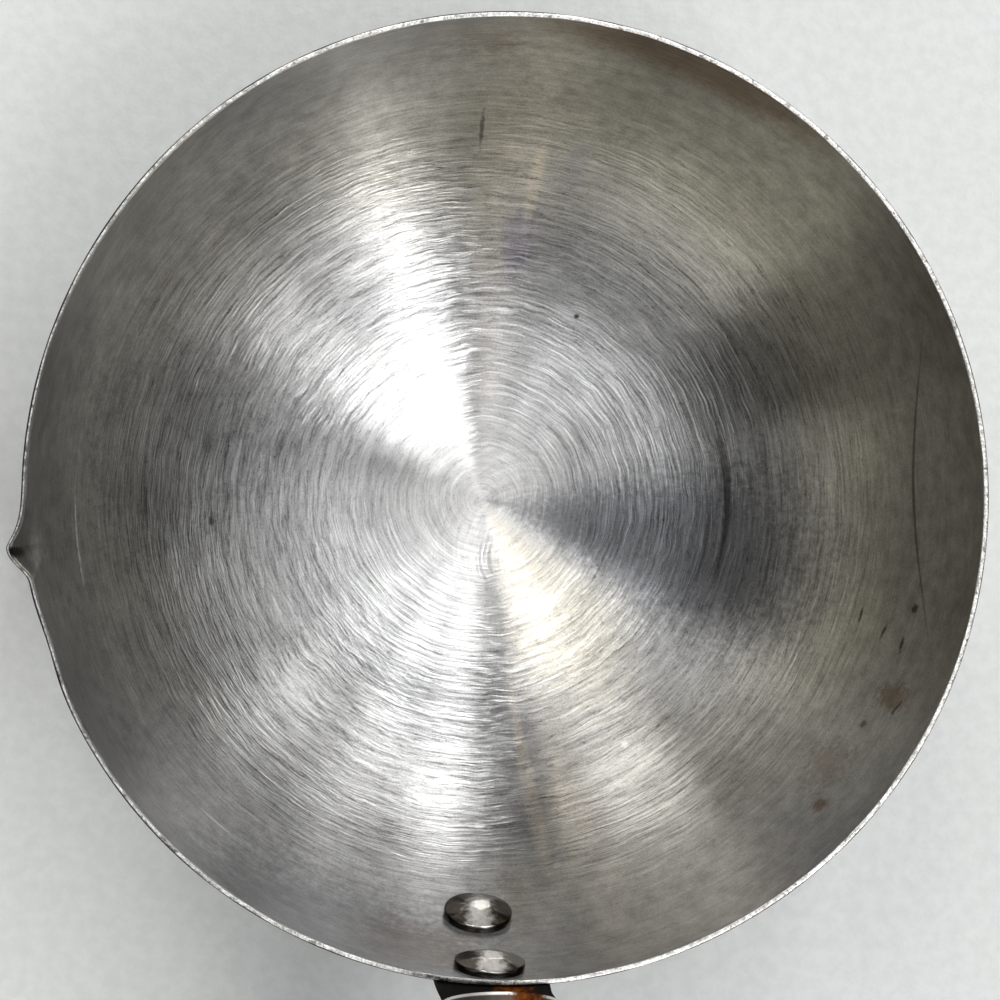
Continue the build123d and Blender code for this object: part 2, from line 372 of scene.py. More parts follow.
# place on a turned piece, in millimetres: distance from the axis, height, the two
# added up as a measure along the section, and the azimuth in degrees
polar, _, polar_out = start_group(
    "polar_place",
    [],
    [
        ("Place", "NodeSocketVector"),
        ("Radius", "NodeSocketFloat"),
        ("Height", "NodeSocketFloat"),
        ("Along", "NodeSocketFloat"),
        ("Azimuth", "NodeSocketFloat"),
    ],
)
place = place_in_mm(polar)
x, y, height = components(polar, place)
radius = distance_from_axis(polar, x, y)
azimuth = maths(polar, "MULTIPLY", maths(polar, "ARCTAN2", y, x), 180.0 / math.pi)
polar.links.new(place, polar_out.inputs["Place"])
polar.links.new(radius, polar_out.inputs["Radius"])
polar.links.new(height, polar_out.inputs["Height"])
polar.links.new(maths(polar, "ADD", radius, height), polar_out.inputs["Along"])
polar.links.new(azimuth, polar_out.inputs["Azimuth"])

# fine lines that run round a centre, as emery and a lathe leave them
rings, rings_in, rings_out = start_group(
    "turned_lines",
    [
        ("Place", "NodeSocketVector", None),
        ("Centre", "NodeSocketVector", (0, 0, 0)),
        ("Per mm", "NodeSocketFloat", 2.0),
        ("Length", "NodeSocketFloat", 10.0),
        ("Seed", "NodeSocketFloat", 0.0),
    ],
    [("Lines", "NodeSocketFloat")],
)
place, centre, per_mm, length, seed = rings_in.outputs[:5]
x, y, height = components(rings, vector_maths(rings, "SUBTRACT", place, centre))
along = maths(rings, "ADD", distance_from_axis(rings, x, y), height)
line_place = combined(
    rings,
    maths(rings, "DIVIDE", x, length),
    maths(rings, "DIVIDE", y, length),
    maths(rings, "ADD", maths(rings, "MULTIPLY", along, per_mm), seed),
)
rings.links.new(noise(rings, line_place, 1.0, 2.0, 0.6), rings_out.inputs["Lines"])

# one mark on a turned piece: a ragged spot or stroke round the axis
marking, marking_in, marking_out = start_group(
    "one_mark",
    [
        ("Spot", "NodeSocketVector", None),
        ("Torn", "NodeSocketFloat", 0.0),
        ("Size", "NodeSocketVector", (1, 1, 0)),
        ("Middle", "NodeSocketVector", (0, 0, 0)),
        ("Ragged", "NodeSocketFloat", 0.5),
        ("Strength", "NodeSocketFloat", 1.0),
    ],
    [("Mask", "NodeSocketFloat")],
)
spot, tear, size, middle, ragged, strength = marking_in.outputs[:6]
distance = vector_maths(marking, "MULTIPLY_ADD", spot, size, middle)
distance = vector_maths(marking, "LENGTH", distance)
edge = maths(marking, "MULTIPLY_ADD", tear, ragged, distance)
marking.links.new(ramp(marking, edge, 0.35, 1.0, strength, 0.0), marking_out.inputs["Mask"])


# the inside: brushed in rings with emery by hand, and marked by use since
inside_steel, tree, shader = start_material("brushed_steel_inside")
where = use_group(tree, polar)

# the hand that held the emery wavered, so the rings do too
waver = add_node(tree, "ShaderNodeTexNoise", {"Vector": where["Place"], "Scale": 0.2, "Detail": 1.0})
waver = vector_maths(tree, "MULTIPLY_ADD", waver.outputs["Color"], (1.1, 1.1, 0.0), where["Place"])


def lines(per_mm, length, seed, centre=(0.55, 0.55, 0)):
    """Rings of the inside steel: so many to the mm, each so long, about a centre."""
    chosen = {"Place": waver, "Centre": centre, "Per mm": per_mm, "Length": length, "Seed": seed}
    return use_group(tree, rings, chosen)["Lines"]


def marks(strokes):
    """The masks of several strokes, the strongest at each point. Each stroke is its place along
    the section in mm and its azimuth in degrees, its half width and half length in the same
    units, its lean and bow, how ragged it is, and its strength."""
    strongest = None
    for at, turn, half_width, half_length, lean, bow, ragged, strength in strokes:
        # azimuths are counted up to a side where no mark crosses
        turn = turn - 360.0 if turn > UNMARKED_SIDE else turn
        spot = place_on_wall
        if lean or bow:
            turned = maths(tree, "SUBTRACT", azimuth, turn)
            sideways = maths(tree, "MULTIPLY", turned, maths(tree, "MULTIPLY_ADD", turned, bow, lean))
            beside = maths(tree, "SUBTRACT", where["Along"], sideways)
            spot = combined(tree, beside, azimuth)
        stroke = {
            "Spot": spot,
            "Torn": torn,
            "Size": (1.0 / half_width, 1.0 / half_length, 0.0),
            "Middle": (-at / half_width, -turn / half_length, 0.0),
            "Ragged": ragged,
            "Strength": strength,
        }
        mask = use_group(tree, marking, stroke)["Mask"]
        strongest = mask if strongest is None else maths(tree, "MAXIMUM", strongest, mask)
    return strongest


UNMARKED_SIDE = 143.0
CROSSING_CENTRE = (9.0, -8.0, 0.0)
azimuth = maths(tree, "WRAP", where["Azimuth"], UNMARKED_SIDE, UNMARKED_SIDE - 360.0)
place_on_wall = combined(tree, where["Along"], azimuth)
torn = noise(tree, where["Place"], 1.1, detail=2.0)
torn = maths(tree, "MULTIPLY", maths(tree, "SUBTRACT", torn, 0.5), 3.0)
hair = lines(4.5, 4.0, 3.0)
fine = lines(2.1, 10.0, 11.0)
stroke = lines(1.1, 8.0, 19.0)
coarse = lines(0.45, 24.0, 27.0)
crossing = lines(1.5, 9.0, 41.0, CROSSING_CENTRE)
specks = lines(2.3, 1.3, 53.0)
side_share, handle_share, _ = components(tree, where["Place"])
crossed = maths(
    tree, "MULTIPLY", ramp(tree, where["Radius"], 16.0, 32.0), ramp(tree, side_share, 12.0, -22.0)
)
crossed = maths(tree, "MAXIMUM", crossed, ramp(tree, where["Radius"], 6.0, 16.0, 1.0, 0.0))
crossing = maths(tree, "MULTIPLY", maths(tree, "SUBTRACT", crossing, 0.5), crossed)
grain = noise(tree, where["Place"], 3.5, detail=2.0)
# emery marks are deep on the floor and the knuckle and fade up the smoother wall
worked = ramp(tree, where["Along"], 55.0, 92.0, 1.0, 0.3)
worked = maths(tree, "MULTIPLY", worked, ramp(tree, where["Along"], 8.0, 34.0, 0.55, 1.0))
mottle = noise(tree, where["Place"], 0.35, detail=3.0, roughness=0.65)
clouds = noise(tree, where["Place"], 0.045, detail=3.0)
# polished nearly white in the middle and dulled by the metal poured from it further out,
# partly painted light and shade: each level follows how bright the bowl looks there
SECTION_LENGTH = 112.0
LEVELS = (
    (0, 0.74),
    (12, 0.80),
    (21, 0.80),
    (28, 0.70),
    (36, 0.49),
    (45, 0.39),
    (55, 0.38),
    (66, 0.40),
    (80, 0.40),
    (92, 0.37),
    (103, 0.33),
    (112, 0.27),
)
how_far = maths(tree, "DIVIDE", where["Along"], SECTION_LENGTH)
tone = add_node(tree, "ShaderNodeFloatCurve", {"Factor": 1.0, "Value": how_far})
curve = tone.mapping.curves[0]
curve.points[0].location = (0.0, LEVELS[0][1])
curve.points[1].location = (1.0, LEVELS[-1][1])
for at, level in LEVELS[1:-1]:
    curve.points.new(at / SECTION_LENGTH, level)
tone.mapping.update()
tone = tone.outputs["Value"]
# the effects' mean comes off their sum, so that they lighten as much as they darken
streaks = -2.2
for effect, share in (
    (hair, 0.8), (fine, 0.9), (stroke, 1.1), (crossing, 0.9), (coarse, 0.4), (grain, 0.8), (mottle, 0.4)
):
    streaks = maths(tree, "MULTIPLY_ADD", effect, share, streaks)
streaks = maths(tree, "SUBTRACT", streaks, ramp(tree, specks, 0.34, 0.46, 0.26, 0.0))
streaks = maths(tree, "MULTIPLY", streaks, worked)
tone = maths(tree, "MULTIPLY", tone, maths(tree, "MAXIMUM", maths(tree, "ADD", 1.0, streaks), 0.2))
tone = maths(tree, "MULTIPLY", tone, ramp(tree, clouds, 0.3, 0.7, 0.9, 1.1))
# the wall is cloudy where the brush only skimmed it
skimmed = maths(tree, "MULTIPLY_ADD", mottle, 0.9, maths(tree, "MULTIPLY", grain, 0.5))
skimmed = maths(tree, "SUBTRACT", skimmed, 0.7)
skimmed = maths(tree, "MULTIPLY", skimmed, ramp(tree, where["Along"], 55.0, 92.0))
tone = maths(tree, "MULTIPLY", tone, maths(tree, "ADD", 1.0, skimmed))
steel = add_node(tree, "ShaderNodeCombineColor", {0: tone, 1: tone, 2: tone}).outputs[0]
# the wall is tinted warm, most of all opposite the lip: partly tarnish, partly painted warm light
warmth = maths(
    tree,
    "MULTIPLY",
    ramp(tree, where["Along"], 30.0, 75.0),
    ramp(tree, side_share, -45.0, 45.0, 0.5, 1.0),
)
warmth = maths(tree, "MULTIPLY", warmth, ramp(tree, handle_share, -55.0, -12.0, 0.15, 1.0))
steel = blend_colour(tree, warmth, steel, (1.05, 0.995, 0.80, 1), "MULTIPLY")
# painted highlight: the bright wedge below the middle, towards the handle, is made lighter still
bright_wedge_highlight = marks([(31.0, 257.0, 34.0, 16.0, 0.0, 0.0, 0.2, 1.0)])
steel = blend_colour(tree, bright_wedge_highlight, steel, (1.22, 1.22, 1.23, 1), "MULTIPLY")
# heat colours left by the pours and painted warm light: a straw tint low in the bowl, partly heat
# colour and partly painted warm light, then blue and brown
straw = marks([(20.0, 306.0, 26.0, 32.0, 0.0, 0.0, 0.2, 1.0)])
steel = blend_colour(tree, straw, steel, (1.0, 0.96, 0.86, 1), "MULTIPLY")
# painted reflections: a thin warm streak either side of the middle
glints = marks([(50.0, 281.6, 27.0, 2.1, 0.0, 0.0, 0.1, 1.0), (55.0, 84.0, 14.0, 1.7, 0.0, 0.0, 0.1, 0.8)])
steel = blend_colour(tree, glints, steel, (1.42, 1.34, 1.24, 1), "MULTIPLY")
blued = marks([(43.0, 85.0, 9.0, 5.0, 0.0, 0.0, 0.5, 0.8), (62.0, 78.0, 9.0, 3.0, 0.0, 0.0, 0.5, 0.5)])
steel = blend_colour(tree, blued, steel, (0.86, 0.84, 1.0, 1), "MULTIPLY")
# painted shade: grey zones over the dark wedges either side of the middle and up the wall
dark_wedge_shade = marks(
    [
        (32.0, 350.0, 44.0, 31.0, 0.0, 0.0, 0.25, 1.0),
        (58.0, 173.0, 30.0, 27.0, 0.0, 0.0, 0.3, 0.55),
        (62.0, 125.0, 48.0, 16.0, 0.0, 0.0, 0.1, 0.4),
        (106.0, 116.0, 34.0, 24.0, 0.0, 0.0, 0.1, 0.6),
        (102.0, 251.0, 32.0, 27.0, 0.0, 0.0, 0.3, 0.65),
        (104.0, 190.0, 30.0, 44.0, 0.0, 0.0, 0.1, 0.35),
    ]
)
steel = blend_colour(tree, dark_wedge_shade, steel, (0.48, 0.485, 0.51, 1), "MULTIPLY")
browned = marks(
    [
        (95.0, 336.0, 8.0, 2.4, 0.0, 0.0, 0.4, 0.8),
        (95.5, 318.8, 3.0, 1.4, 0.0, 0.0, 0.5, 1.0),
        (88.0, 324.0, 8.0, 5.0, 0.0, 0.0, 0.6, 0.5),
        (79.0, 276.0, 16.0, 3.0, 0.0, 0.0, 0.4, 0.35),
        (100.0, 95.0, 8.0, 5.0, 0.0, 0.0, 0.6, 0.35),
        # this one darkens a band just under the rim, above the middle
        (109.0, 70.0, 12.0, 25.0, 0.0, 0.0, 0.15, 1.0),
        (98.0, 262.0, 14.0, 11.0, 0.0, 0.0, 0.4, 0.45),
    ]
)
steel = blend_colour(tree, browned, steel, (0.62, 0.50, 0.42, 1), "MULTIPLY")
dark_strokes = marks(
    [
        (69.5, 94.2, 7.0, 0.5, 0.0, 0.0, 0.35, 0.75),
        (33.4, 65.3, 0.6, 1.0, 0.0, 0.0, 0.25, 1.0),
        (45.0, 187.4, 1.0, 1.4, 0.0, 0.0, 0.3, 0.8),
        (40.8, 3.7, 1.2, 26.0, 0.0, 0.0, 0.15, 0.75),
        (37.6, 352.0, 0.5, 16.0, 0.0, 0.0, 0.3, 0.4),
        (16.4, 38.0, 0.35, 24.0, 0.0, 0.0, 0.3, 0.5),
        (86.8, 4.0, 0.6, 26.0, 0.0, 0.032, 0.12, 0.7),
        (76.0, 345.5, 0.6, 1.6, 0.0, 0.0, 0.4, 0.8),
        (84.0, 344.0, 0.6, 1.6, 0.3, 0.0, 0.4, 0.9),
        (91.0, 342.8, 0.8, 1.5, -0.2, 0.0, 0.4, 0.9),
        (91.7, 348.0, 1.2, 0.9, 0.0, 0.0, 0.4, 0.9),
        (98.0, 334.8, 0.6, 1.4, 0.5, 0.0, 0.4, 0.8),
        (90.5, 331.0, 1.1, 0.8, 0.0, 0.0, 0.5, 0.7),
        # this one darkens the wall round the lip: partly stain, partly painted shade over its lit facets
        (110.5, 188.0, 6.5, 6.0, 0.0, 0.0, 0.2, 0.65),
    ]
)
steel = blend_colour(tree, dark_strokes, steel, (0.22, 0.20, 0.19, 1), "MULTIPLY")
# painted shadow: near black in the crease just inside the lip's tip
lip_crease_shadow = marks([(112.6, 189.0, 4.6, 0.95, -1.2, 0.0, 0.12, 1.0)])
steel = blend_colour(tree, lip_crease_shadow, steel, (0.012, 0.010, 0.008, 1))
bright_strokes = marks(
    [
        (83.3, 188.5, 0.5, 9.0, 0.0, 0.0, 0.55, 1.0),
        (86.5, 231.0, 0.45, 4.0, 0.0, 0.0, 0.45, 0.7),
        (57.2, 271.7, 1.1, 1.3, 0.0, 0.0, 0.3, 0.5),
        (48.1, 302.8, 1.0, 1.2, 0.0, 0.0, 0.3, 0.35),
        (69.6, 283.1, 1.1, 1.0, 0.0, 0.0, 0.3, 0.4),
        (11.8, 212.0, 0.45, 42.0, 0.0, 0.0, 0.35, 0.9),
    ]
)
steel = blend_colour(tree, bright_strokes, steel, (0.80, 0.80, 0.79, 1))
tree.links.new(steel, shader.inputs["Base Color"])

# a shallow dish in the floor, in millimetres, and the depth of the emery marks
DISH_RADIUS = 45.0
DISH_DEPTH = 3.15
dish = ramp(tree, where["Radius"], 0.0, DISH_RADIUS, 0.0, DISH_DEPTH)
dished = emboss(tree, shader, dish, 1.0, 0.001)
relief = 0.0
for effect, share in ((fine, 0.7), (stroke, 0.8), (crossing, 0.6)):
    relief = maths(tree, "MULTIPLY_ADD", effect, share, relief)
relief = maths(tree, "MULTIPLY", relief, worked)
emboss(tree, shader, relief, 1.0, 0.00015, dished)
roughness = ramp(tree, mottle, 0.3, 0.75, 0.284, 0.31)
roughness = maths(tree, "ADD", roughness, ramp(tree, where["Radius"], 2.0, 10.0, 0.10, 0.0))
tree.links.new(roughness, shader.inputs["Roughness"])
# cross-polished in the very middle, so it scatters the light every way there
tree.links.new(ramp(tree, where["Radius"], 1.0, 18.0, 0.15, 1.0), shader.inputs["Metallic"])
brushed_round(tree, shader, 1.0)

# the cut edge: filed bright by hand, with the nicks it has picked up since
rim_steel, tree, shader = start_material("filed_rim_steel")
where = use_group(tree, polar)
filed = noise(tree, where["Place"], 1.3, detail=4.0, roughness=0.7)
nicks = ramp(tree, noise(tree, where["Place"], 0.9, detail=2.0), 0.60, 0.68)
sparkle = noise(tree, where["Place"], 3.4, detail=2.0, roughness=0.7)
glint = ramp(tree, maths(tree, "ADD", filed, maths(tree, "MULTIPLY", sparkle, 0.8)), 0.66, 1.12)
edge_tone = blend_colour(tree, glint, (0.34, 0.335, 0.32, 1), (0.98, 0.97, 0.95, 1))
edge_tone = blend_colour(tree, nicks, edge_tone, (0.25, 0.24, 0.22, 1))
tree.links.new(edge_tone, shader.inputs["Base Color"])
emboss(tree, shader, filed, 0.8, 0.00012)
tree.links.new(ramp(tree, filed, 0.3, 0.7, 0.28, 0.48), shader.inputs["Roughness"])
shader.inputs["Metallic"].default_value = 1.0

# the outside: plain as it came off the former, smoked in patches and scorched at the base,
# with a painted shadow along the rim's outer edge
outside_steel, tree, shader = start_material("spun_steel_outside")
where = use_group(tree, polar)
mottle = noise(tree, where["Place"], 0.3, detail=5.0, roughness=0.65)
clouds = noise(tree, where["Place"], 0.05, detail=3.0)
shade = maths(tree, "MULTIPLY_ADD", mottle, 0.65, 0.19526)
outer_tone = blend_colour(tree, shade, (0.26, 0.255, 0.24, 1), (0.60, 0.59, 0.57, 1))
smoked = ramp(tree, clouds, 0.45, 0.7, 0.0, 0.7)
outer_tone = blend_colour(tree, smoked, outer_tone, (0.66, 0.58, 0.50, 1), "MULTIPLY")
scorched = maths(tree, "MULTIPLY", ramp(tree, where["Height"], 22.0, 2.0), ramp(tree, mottle, 0.2, 0.9))
outer_tone = blend_colour(tree, scorched, outer_tone, (0.50, 0.46, 0.44, 1), "MULTIPLY")
# painted shadow: a dark line just under the rim's outer edge
below_rim = maths(tree, "SUBTRACT", rim_height * MM_PER_METRE, where["Height"])
rim_outer_shadow = ramp(tree, below_rim, 0.45, 0.2)
outer_tone = blend_colour(tree, rim_outer_shadow, outer_tone, (0.055, 0.05, 0.045, 1))
tree.links.new(outer_tone, shader.inputs["Base Color"])
tree.links.new(ramp(tree, mottle, 0.3, 0.7, 0.30, 0.48), shader.inputs["Roughness"])
shader.inputs["Metallic"].default_value = 1.0
brushed_round(tree, shader, 0.7)

for material in (inside_steel, rim_steel, outside_steel):
    bowl_mesh.materials.append(material)
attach(spun_bowl, "root")
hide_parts("bowl")

# ---------------------------------------------------------------------------
# Rivets: two round-head steel rivets through the wall and the socket's tongue,
# their heads inside the bowl, left in flats by the hammer and polished by use,
# with painted shade at their sides and round their foot.
# ---------------------------------------------------------------------------
# the node, how far down the wall it sits from the rim, and the seed of its flats
RIVETS = (("upper_rivet", 0.0057, 11), ("lower_rivet", 0.0238, 5))
# the head with its upright edge, the tail, and the shank through the two sheets
HEAD_R = 0.005
HEAD_HEIGHT = 0.0024
HEAD_LAND = 0.0013
TAIL_R = 0.004
TAIL_HEIGHT = 0.0018
SHANK_R = 0.0025
STACK = 0.00165
COLLAR = 0.0001
# how the head's edge draws in at its foot and towards the dome, as shares
SEAT_IN = 0.96
LAND_FOOT = (0.985, 0.2)
LAND_TOP = 0.6
DOME_IN = 0.998
HEAD_STEPS = 26
TAIL_STEPS = 12
AROUND = 72
# the hammer's flats: how many about the crown, how steep, how far each cuts into the dome,
# the slope of the one on the crown, and their reach down the edge, as shares of it
FLATS = 6
FLAT_TILT = (0.20, 0.34)
FLAT_CUT = (0.00008, 0.00022)
CROWN_SLOPE = (0.02, -0.05)
FLAT_REACH = 0.99
FLAT_FLOOR = 0.8


def dome_profile(radius, height, land, steps):
    """From the edge of a rivet's head up to its middle: (radius, height)."""
    cap = height - land
    ball = (radius * radius + cap * cap) / (2 * cap)
    half = math.atan2(radius, ball - cap)
    points = [(radius * LAND_FOOT[0], land * LAND_FOOT[1]), (radius, land * LAND_TOP)]
    for i in range(steps):
        turn = half * (1 - i / steps)
        points.append((ball * math.sin(turn) * DOME_IN, height - ball + ball * math.cos(turn)))
    return points


def rivet_mesh(name, seed):
    """A turned rivet about Z, its head up, with the flats that the hammer left in it."""
    rng = random.Random(seed)
    cap = HEAD_HEIGHT - HEAD_LAND
    ball = (HEAD_R * HEAD_R + cap * cap) / (2 * cap)
    flats = [(Vector(CROWN_SLOPE), HEAD_HEIGHT - FLAT_CUT[0])]
    for i in range(FLATS):
        angle = 2 * math.pi * (i + rng.uniform(-0.3, 0.3)) / FLATS
        tilt = rng.uniform(*FLAT_TILT)
        middle = HEAD_HEIGHT - ball + ball / math.cos(tilt) - rng.uniform(*FLAT_CUT)
        flats.append((Vector((math.cos(angle), math.sin(angle))) * math.tan(tilt), middle))
    head = dome_profile(HEAD_R, HEAD_HEIGHT, HEAD_LAND, HEAD_STEPS)
    tail = [(r, -STACK - z) for r, z in dome_profile(TAIL_R, TAIL_HEIGHT, 0.0, TAIL_STEPS)][::-1]
    shank = [(TAIL_R * SEAT_IN, -STACK + COLLAR), (SHANK_R, -STACK + COLLAR), (SHANK_R, -COLLAR)]
    outline = tail + shank + [(HEAD_R * SEAT_IN, -COLLAR)] + head
    mesh = bpy.data.meshes.new(name)
    maker = bmesh.new()
    rings_made = []
    for r, z in outline:
        ring = []
        for i in range(AROUND):
            angle = 2 * math.pi * i / AROUND
            x, y = r * math.cos(angle), r * math.sin(angle)
            top = z
            if z > HEAD_LAND * FLAT_REACH:
                top = min([z] + [middle - slope.dot(Vector((x, y))) for slope, middle in flats])
                top = max(top, HEAD_LAND * FLAT_FLOOR)
            ring.append(maker.verts.new((x, y, top)))
        rings_made.append(ring)
    for lower, upper in zip(rings_made, rings_made[1:]):
        for i in range(AROUND):
            j = (i + 1) % AROUND
            maker.faces.new((lower[i], lower[j], upper[j], upper[i]))
    tail_top = maker.verts.new((0, 0, -STACK - TAIL_HEIGHT))
    head_top = maker.verts.new((0, 0, min(middle for _, middle in flats)))
    for i in range(AROUND):
        j = (i + 1) % AROUND
        maker.faces.new((rings_made[0][j], rings_made[0][i], tail_top))
        maker.faces.new((rings_made[-1][i], rings_made[-1][j], head_top))
    for face in maker.faces:
        face.smooth = True
    bmesh.ops.recalc_face_normals(maker, faces=maker.faces)
    maker.to_mesh(mesh)
    maker.free()
    return mesh


rivet_steel, tree, shader = start_material("polished_rivet_steel")
place = place_in_mm(tree)
beside, up_wall, out_of_wall = components(tree, place)
rubbing_and_highlight = noise(tree, place, 0.9, detail=4.0)
scuffs = noise(tree, place, 5.0, detail=3.0, distortion=1.0)
wear_and_shade = blend_colour(tree, ramp(tree, rubbing_and_highlight, 0.3, 0.7), (0.70, 0.68, 0.65, 1), (0.98, 0.97, 0.95, 1))
# painted shade: the heads are darkened at their sides and on the side towards the bowl's floor,
# the dark parts of the reflections either side of the bright crown
shaded_sides = maths(tree, "MULTIPLY_ADD", rubbing_and_highlight, 4.0, maths(tree, "ABSOLUTE", beside))
shaded_sides = maths(tree, "MULTIPLY_ADD", ramp(tree, up_wall, 0.3, 3.5), 1.3, shaded_sides)
shaded_sides = ramp(tree, shaded_sides, 2.6, 4.7)
wear_and_shade = blend_colour(tree, shaded_sides, wear_and_shade, (0.09, 0.08, 0.07, 1), "MULTIPLY")
# painted shadow: near black round the foot of each head, where it meets the wall
head_foot_shadow = ramp(tree, out_of_wall, 1.0, 1.42, 1.0, 0.0)
wear_and_shade = blend_colour(tree, head_foot_shadow, wear_and_shade, (0.045, 0.04, 0.036, 1))
tree.links.new(wear_and_shade, shader.inputs["Base Color"])
emboss(tree, shader, scuffs, 0.05, 0.0001)
tree.links.new(ramp(tree, rubbing_and_highlight, 0.3, 0.75, 0.12, 0.24), shader.inputs["Roughness"])
tree.links.new(ramp(tree, shaded_sides, 0.0, 1.0, 0.62, 1.0), shader.inputs["Metallic"])

for name, down, seed in RIVETS:
    steep = RIM_ANGLE - down / WALL_R
    seat_reach = WALL_R - SHEET
    seat_radius = wall_axis + seat_reach * math.sin(steep)
    seat_height = wall_level - seat_reach * math.cos(steep)
    outwards = Vector((0, math.sin(steep), math.cos(steep)))
    sideways = Vector((1, 0, 0))
    placed = Matrix((sideways, outwards.cross(sideways), outwards)).transposed().to_4x4()
    placed.translation = Vector((0, -seat_radius, seat_height))
    rivet = bpy.data.objects.new(name + "_hammered", rivet_mesh(name, seed))
    rivet.matrix_world = placed
    rivet.data.materials.append(rivet_steel)
    scene.collection.objects.link(rivet)
    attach(rivet, "root")
    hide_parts(name)


# ---------------------------------------------------------------------------
# Handle socket: sheet steel, cut to a tongue and rolled into a tube, blackened
# a little where the bowl's heat reaches it and rusted in the gap at the rim, with
# painted shadow in its hollow and a painted highlight along its front edge.
# ---------------------------------------------------------------------------
# how steeply the handle rises, and its length from the tube's front to the hanging hole
HANDLE_RISE = math.radians(22.0)
HANDLE_LENGTH = 0.138
handle_way = Vector((0, -math.cos(HANDLE_RISE), math.sin(HANDLE_RISE)))
handle_up = Vector((0, math.sin(HANDLE_RISE), math.cos(HANDLE_RISE)))
hang_hole = next(m for m in frame["record"]["mounts"] if m["name"] == "hang_hole")
tube_front = Vector(hang_hole["pos_m"]) - handle_way * HANDLE_LENGTH

# place on the handle, in millimetres: distance along its axis from the front of the
# tube, distance across it, distance up from it, and radius about it
handle_place, _, handle_out = start_group(
    "handle_place",
    [],
    [
        ("Along", "NodeSocketFloat"),
        ("Across", "NodeSocketFloat"),
        ("Up", "NodeSocketFloat"),
        ("Radius", "NodeSocketFloat"),
        ("Place", "NodeSocketVector"),
    ],
)
tube_front_mm = tube_front * MM_PER_METRE
from_front = vector_maths(handle_place, "SUBTRACT", place_in_mm(handle_place), tube_front_mm)
along, across, up = (
    vector_maths(handle_place, "DOT_PRODUCT", from_front, way)
    for way in (handle_way, Vector((1, 0, 0)), handle_up)
)
handle_place.links.new(along, handle_out.inputs["Along"])
handle_place.links.new(across, handle_out.inputs["Across"])
handle_place.links.new(up, handle_out.inputs["Up"])
handle_place.links.new(distance_from_axis(handle_place, across, up), handle_out.inputs["Radius"])
handle_place.links.new(combined(handle_place, along, across, up), handle_out.inputs["Place"])


def stretched(tree, place, scale):
    return vector_maths(tree, "MULTIPLY", place, scale)


socket_steel, tree, shader = start_material("rolled_socket_steel")
where = use_group(tree, handle_place)
drawn = noise(tree, stretched(tree, where["Place"], (0.06, 1.6, 1.6)), 1.0, detail=4.0, roughness=0.65)
mottle = noise(tree, where["Place"], 0.35, detail=5.0, roughness=0.6)
rolled = blend_colour(tree, drawn, (0.27, 0.26, 0.245, 1), (0.54, 0.53, 0.505, 1))
straw = ramp(tree, where["Along"], 34.0, 16.0)
straw = maths(tree, "MULTIPLY", straw, ramp(tree, where["Along"], 2.0, 16.0))
rolled = blend_colour(tree, maths(tree, "MULTIPLY", straw, 0.6), rolled, (1.0, 0.86, 0.62, 1), "MULTIPLY")
heated = maths(tree, "ADD", where["Along"], maths(tree, "MULTIPLY", mottle, 14.0))
sooted = ramp(tree, heated, 32.0, 8.0)
rolled = blend_colour(tree, sooted, rolled, (0.16, 0.142, 0.13, 1), "MULTIPLY")
# painted shadow: near black inside the tube, all round the neck and low in its mouth, where
# the hollow lies in shade; the tube's front edge is a painted highlight
hollow_shadow = maths(tree, "MAXIMUM", ramp(tree, where["Along"], 0.1, -0.4), ramp(tree, where["Radius"], 7.7, 7.3))
under = maths(tree, "MULTIPLY", ramp(tree, where["Up"], 1.5, -2.0), ramp(tree, where["Along"], 7.0, 3.0))
hollow_shadow = maths(tree, "MAXIMUM", hollow_shadow, under)
rolled = blend_colour(tree, hollow_shadow, rolled, (0.010, 0.009, 0.008, 1))
front_edge = maths(tree, "ABSOLUTE", maths(tree, "SUBTRACT", where["Along"], 0.15))
rubbing_and_highlight = maths(tree, "MULTIPLY", ramp(tree, front_edge, 0.32, 0.12), ramp(tree, where["Up"], -1.0, 2.0))
rolled = blend_colour(tree, rubbing_and_highlight, rolled, (0.62, 0.61, 0.59, 1))
flaking = noise(tree, where["Place"], 0.9, detail=4.0, roughness=0.65)
rust_edge = maths(tree, "ABSOLUTE", maths(tree, "SUBTRACT", where["Across"], 2.8))
rust_edge = maths(tree, "MULTIPLY_ADD", flaking, 4.0, rust_edge)
rust = maths(tree, "MULTIPLY", ramp(tree, rust_edge, 4.9, 3.6), ramp(tree, where["Along"], 2.2, 0.8))
scale = ramp(tree, flaking, 0.35, 0.6)
rust_tone = blend_colour(tree, scale, (0.17, 0.05, 0.006, 1), (0.045, 0.014, 0.005, 1))
rolled = blend_colour(tree, rust, rolled, rust_tone)
tree.links.new(rolled, shader.inputs["Base Color"])
emboss(tree, shader, drawn, 0.4, 0.0001)
smooth = ramp(tree, mottle, 0.3, 0.7, 0.28, 0.42)
tree.links.new(maths(tree, "MULTIPLY_ADD", hollow_shadow, 0.4, smooth), shader.inputs["Roughness"])
shader.inputs["Specular IOR Level"].default_value = 0.03
covered = maths(tree, "MAXIMUM", rust, maths(tree, "MULTIPLY", hollow_shadow, 0.8))
tree.links.new(maths(tree, "SUBTRACT", 1.0, covered), shader.inputs["Metallic"])


def cover(node_name, material):
    """Gives one of the solids its finish."""
    solid = frame["nodes"][node_name]
    solid.data.materials.clear()
    solid.data.materials.append(material)


cover("handle_socket", socket_steel)


# ---------------------------------------------------------------------------
# Wooden grip: turned from one length of straight-grained hardwood, oiled, with
# dark palm marks on the belly and a scorched end beside the socket.
# ---------------------------------------------------------------------------
grip_wood, tree, shader = start_material("oiled_turned_wood")
where = use_group(tree, handle_place)
